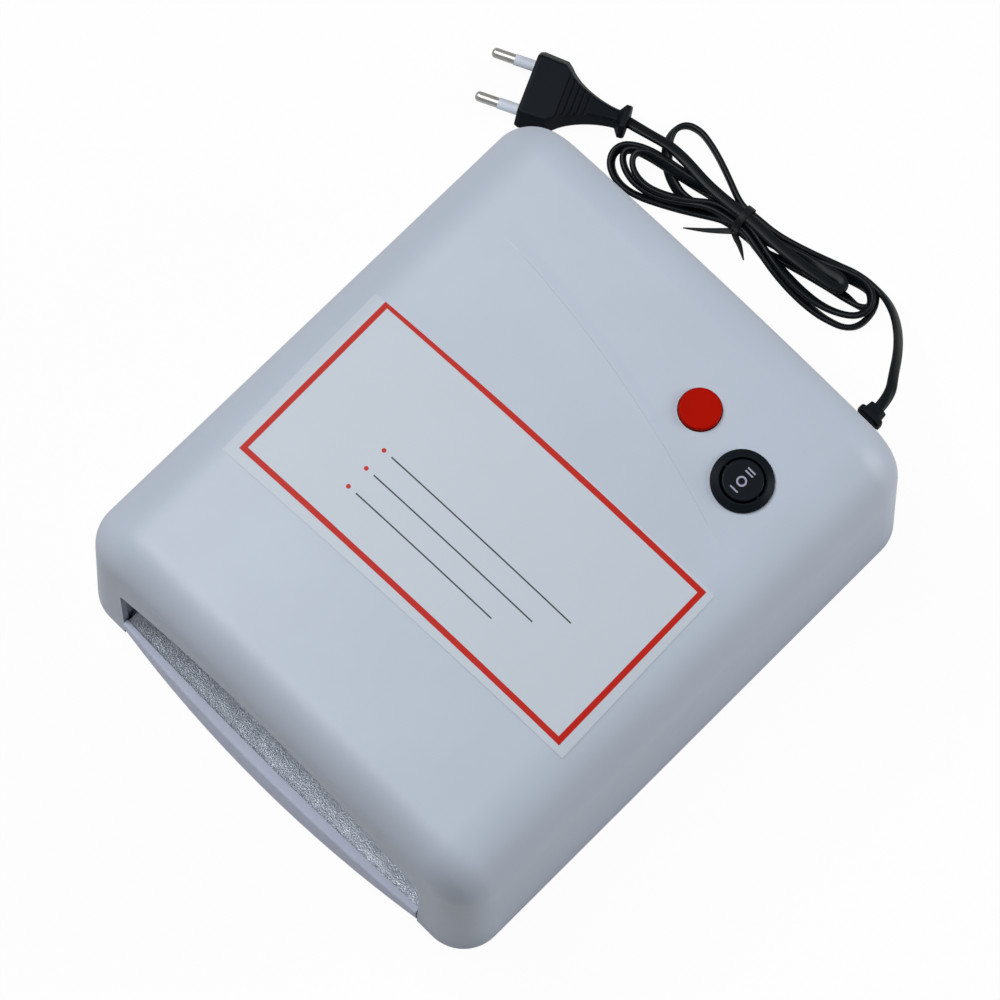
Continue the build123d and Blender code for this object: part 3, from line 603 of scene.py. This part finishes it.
loop_inner_right = [
    (-0.0130, 0.1619, 0.0030, edge_on),
    (-0.0010, 0.1652, 0.0044, edge_on),
    (0.0110, 0.1693, 0.0056, edge_on),
    (0.0200, 0.1725, 0.0066, 1.2),
    (0.0265, 0.1732, 0.0070, 1.1),
    (0.0312, 0.1708, 0.0072, 1.1),
    (0.0332, 0.1666, 0.0070, 1.1),
    (0.0319, 0.1620, 0.0066, 1.1),
    (0.0270, 0.1584, 0.0060, 1.1),
    (0.0193, 0.1555, 0.0056, 0.9),
    (0.0090, 0.1543, 0.0060, 0.6),
    (-0.0020, 0.1550, 0.0068, 0.7),
    (-0.0135, 0.1569, 0.0068, edge_on),
]
loop_top_right = [
    (-0.0130, 0.1605, 0.0070, edge_on),
    (-0.0020, 0.1633, 0.0074, 1.2),
    (0.0070, 0.1653, 0.0078, 0.4),
    (0.0130, 0.1666, 0.0080, 0.2),
    (0.0181, 0.1680, 0.0082, 0.2),
    (0.0208, 0.1657, 0.0084, 0.2),
    (0.0184, 0.1634, 0.0088, 0.2),
    (0.0118, 0.1623, 0.0094, 0.1),
    (0.0040, 0.1609, 0.0100, flat),
    (-0.0080, 0.1597, 0.0103, flat),
]
strand_to_plug = [
    (-0.0360, 0.1587, 0.0103, flat),
    (-0.0450, 0.1587, 0.0098, flat),
    (-0.0550, 0.1601, 0.0086, flat),
]
cord_route = (
    lead_route
    + lead_into_hank
    + through_tie(0.0033, high_row, heading=-1)
    + loop_upper_left
    + through_tie(-0.0012, low_row)
    + loop_low_right
    + through_tie(-0.0037, low_row, heading=-1)
    + loop_outer_left
    + through_tie(0.0037, low_row)
    + loop_outer_right
    + through_tie(-0.0037, high_row, heading=-1)
    + loop_second_left
    + through_tie(0.0012, low_row)
    + loop_inner_right
    + through_tie(-0.0012, high_row, heading=-1)
    + loop_inner_left
    + through_tie(0.0012, high_row)
    + loop_top_right
    + through_tie(0.0002, top_row, flat, heading=-1)
    + strand_to_plug
    + tail_route
)


def route_curve(name, route, tapers=None):
    """An open NURBS curve: the route's points are its control points, each with its section's size."""
    data = bpy.data.curves.new(name, "CURVE")
    data.dimensions = "3D"
    data.twist_mode = "Z_UP"
    data.resolution_u = 8
    spline = data.splines.new("NURBS")
    spline.points.add(len(route) - 1)
    for point, (x, y, z, turn), taper in zip(spline.points, route, tapers or [1.0] * len(route)):
        point.co = (x, y, z, 1)
        point.tilt = turn
        point.radius = taper
    spline.order_u = 3
    spline.use_endpoint_u = True
    curve = bpy.data.objects.new(name, data)
    bpy.context.scene.collection.objects.link(curve)
    return curve


def line_points(curve):
    """The points along a curve that has no bevel."""
    bpy.context.view_layer.update()
    line = bpy.data.meshes.new_from_object(curve.evaluated_get(bpy.context.evaluated_depsgraph_get()))
    points = []
    for vertex in line.vertices:
        if not points or (vertex.co - Vector(points[-1])).length > same_place:
            points.append(tuple(vertex.co))
    bpy.data.meshes.remove(line)
    return points


def oval_section(name, width, thickness, roundness=0.72, steps=20):
    """A closed flat outline, between an oval and a rounded bar, to sweep along a curve."""
    data = bpy.data.curves.new(name, "CURVE")
    data.dimensions = "2D"
    spline = data.splines.new("POLY")
    spline.points.add(steps - 1)
    for step, point in enumerate(spline.points):
        angle = 2 * math.pi * step / steps
        across, up = math.cos(angle), math.sin(angle)
        point.co = (
            width / 2 * math.copysign(abs(across) ** roundness, across),
            thickness / 2 * math.copysign(abs(up) ** roundness, up),
            0,
            1,
        )
    spline.use_cyclic_u = True
    section = bpy.data.objects.new(name, data)
    bpy.context.scene.collection.objects.link(section)
    return section


def swept(curve, section):
    """A curve swept with a section and made a smooth mesh."""
    curve.data.bevel_mode = "OBJECT"
    curve.data.bevel_object = section
    curve.data.use_fill_caps = True
    only(curve)
    bpy.ops.object.convert(target="MESH")
    bpy.data.objects.remove(section)
    edit_all()
    bpy.ops.mesh.remove_doubles(threshold=same_place)
    bpy.ops.mesh.normals_make_consistent(inside=False)
    bpy.ops.object.mode_set(mode="OBJECT")
    smooth()
    return curve


# Wire tie: a flat band round the hank and two pointed tails

tail_width, tie_thickness = 0.0021, 0.0005
tie_half_width, tie_half_height, tie_middle_height = 0.0056, 0.0059, 0.0062
band_width, band_ease = 0.0030, 0.00012
short_tail = [
    (-0.0262, 0.1552, 0.0030, flat),
    (-0.0232, 0.1535, 0.0016, flat),
    (-0.0194, 0.1524, 0.0010, flat),
    (-0.0147, 0.1493, 0.0006, flat),
]
long_tail = [
    (-0.0236, 0.1555, 0.0030, flat),
    (-0.0262, 0.1536, 0.0018, flat),
    (-0.0310, 0.1493, 0.0012, flat),
    (-0.0352, 0.1458, 0.0009, flat),
    (-0.0398, 0.1424, 0.0006, flat),
]
short_tapers = (1.2, 1.2, 1.0, 0.25)
long_tapers = (1.2, 1.2, 1.0, 0.7, 0.25)


def tie_band():
    """The tie's band: a short open tube, pressed to an oval, thickened and with its edges eased."""
    deselect()
    heading = math.atan2(tie_along.y, tie_along.x)
    bpy.ops.mesh.primitive_cylinder_add(
        vertices=56,
        radius=1,
        depth=band_width,
        end_fill_type="NOTHING",
        location=(tie_middle.x, tie_middle.y, tie_middle_height),
        rotation=(0, math.radians(90), heading),
    )
    band = bpy.context.active_object
    band.scale = (tie_half_height, tie_half_width, 1)
    apply_place()
    thicken = band.modifiers.new("thicken", "SOLIDIFY")
    thicken.thickness = tie_thickness
    ease = band.modifiers.new("ease", "BEVEL")
    ease.width = band_ease
    ease.segments = 2
    apply_modifiers(band)
    smooth()
    return band


def tie_tail(name, route, tapers):
    """One end of the tie, pressed flat and drawn to a point."""
    section = oval_section(name + "_section", tail_width, tie_thickness)
    return swept(route_curve(name, route, tapers), section)


tails = [
    tie_tail("short_tail", short_tail, short_tapers),
    tie_tail("long_tail", long_tail, long_tapers),
]
twist_tie = settle(joined("twist_tie", [tie_band()] + tails), "case", "tie_black", "cord_tie")


# Cord in one piece

cord_curve = route_curve("mains_cord", cord_route)
cord_line = line_points(cord_curve)
mains_cord = swept(cord_curve, oval_section("cord_section", cord_width, cord_thickness))
mains_cord.data.materials.append(Finish.of_slot["cord_black"].material)
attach(mains_cord, "case")
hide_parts("power_cord", "cord_hank", "plug_cord")


# Label: the sticker, laid on the crowned top

label_x, label_y, label_turn = -0.0001, -0.0122, math.radians(1.95)
label_width, label_depth, label_thickness = 0.1626, 0.0786, 0.00016
label_lift = 0.00006
above_case = 0.12


def label_sticker():
    """A fine grid let down onto the case's top and thickened."""
    deselect()
    above = (label_x, label_y, above_case)
    bpy.ops.mesh.primitive_grid_add(
        x_subdivisions=64, y_subdivisions=32, size=1, location=above, rotation=(0, 0, label_turn)
    )
    sticker = bpy.context.active_object
    sticker.name = "label_sticker"
    sticker.scale = (label_width, label_depth, 1)
    apply_place()
    lay = sticker.modifiers.new("lay", "SHRINKWRAP")
    lay.target = frame["nodes"]["upper_case"]
    lay.wrap_method = "PROJECT"
    lay.use_project_z = True
    lay.use_negative_direction = True
    lay.use_positive_direction = False
    lay.offset = label_lift
    thicken = sticker.modifiers.new("thicken", "SOLIDIFY")
    thicken.thickness = label_thickness
    thicken.offset = 1
    apply_modifiers(sticker)
    smooth()
    return sticker


settle(label_sticker(), "case", "label_film", "label_panel")


# Foil sheet: laid loose over the drawer's liner, its sides curled up onto the drawer's walls

foil_half_width = 0.0753
foil_front, foil_rear = -0.1152, 0.0238
foil_height, foil_curl = 0.00845, 0.00765
foil_thickness, foil_crumple = 0.00015, 0.00018


def foil_sheet():
    """A fine grid whose long sides are drawn up softly, crumpled a little and thickened."""
    deselect()
    middle = (0, (foil_front + foil_rear) / 2, foil_height)
    bpy.ops.mesh.primitive_grid_add(x_subdivisions=72, y_subdivisions=66, size=1, location=middle)
    foil = bpy.context.active_object
    foil.name = "foil_sheet"
    foil.scale = (2 * foil_half_width, foil_rear - foil_front, 1)
    apply_place()
    bpy.ops.object.mode_set(mode="EDIT")
    bpy.ops.mesh.select_mode(type="VERT")
    bpy.ops.mesh.select_all(action="DESELECT")
    bpy.ops.object.mode_set(mode="OBJECT")
    for corner in foil.data.vertices:
        corner.select = abs(corner.co.x) > foil_half_width - same_place
    bpy.ops.object.mode_set(mode="EDIT")
    bpy.ops.transform.translate(
        value=(0, 0, foil_curl),
        use_proportional_edit=True,
        proportional_edit_falloff="SHARP",
        proportional_size=foil_half_width,
    )
    bpy.ops.mesh.select_all(action="SELECT")
    bpy.ops.transform.vertex_random(offset=foil_crumple, seed=7)
    bpy.ops.object.mode_set(mode="OBJECT")
    thicken = foil.modifiers.new("thicken", "SOLIDIFY")
    thicken.thickness = foil_thickness
    thicken.offset = 1
    apply_modifiers(foil)
    smooth()
    return foil


settle(foil_sheet(), "drawer", "liner_silver")


# Rocker's marks: I, O and II, printed on its top

switch_x, switch_y, switch_height = 0.0582, 0.06585, 0.092614
crown_radius = 0.711
switch_seat = Vector((switch_x, switch_y, switch_height))
switch_tilt = math.asin(switch_x / crown_radius)
rocker_top = Vector((0, 0, 0.00272))
bar_size, bar_ease = (0.0036, 0.0006, 0.00012), 0.00004
ring_radius, ring_wire, ring_flatness = 0.0016, 0.00034, 0.18
one_y, ring_y, two_ys = -0.0046, -0.0007, (0.0031, 0.00445)


def on_rocker(mark):
    """Moves a mark from its place on a level rocker to the tilted one, and turns it with it."""
    mark.location = switch_seat + Matrix.Rotation(switch_tilt, 4, "Y") @ (mark.location + rocker_top)
    mark.rotation_euler = (0, switch_tilt, 0)
    only(mark)
    apply_place()
    return mark


def bar_mark(y):
    """A straight mark with its edges eased."""
    deselect()
    bpy.ops.mesh.primitive_cube_add(size=1, location=(0, y, 0))
    mark = bpy.context.active_object
    mark.scale = bar_size
    bpy.ops.object.transform_apply(location=False, rotation=False, scale=True)
    edit_all()
    bpy.ops.mesh.bevel(offset=bar_ease, segments=2, affect="EDGES")
    bpy.ops.object.mode_set(mode="OBJECT")
    return on_rocker(mark)


def ring_mark(y):
    """The O: a ring pressed flat."""
    deselect()
    bpy.ops.mesh.primitive_torus_add(
        major_radius=ring_radius,
        minor_radius=ring_wire,
        major_segments=40,
        minor_segments=8,
        location=(0, y, 0),
    )
    mark = bpy.context.active_object
    edit_all()
    bpy.ops.transform.resize(value=(1, 1, ring_flatness), center_override=(0, y, 0))
    bpy.ops.object.mode_set(mode="OBJECT")
    smooth()
    return on_rocker(mark)


marks = [bar_mark(one_y), ring_mark(ring_y)] + [bar_mark(y) for y in two_ys]
settle(joined("rocker_marks", marks), "rocker", "sleeve_white", finish=mark_white)


# Light and camera in place

surround()
bpy.context.scene.view_settings.view_transform = "Standard"
softbox("high_softbox", (-0.25, -0.35, 1.9), size=0.9, power=11)
softbox("left_softbox", (-0.9, -0.1, 1.5), size=0.9, power=15.5)
softbox("right_softbox", (1.1, 1.0, 0.6), size=0.8, power=11.5)
place_camera()
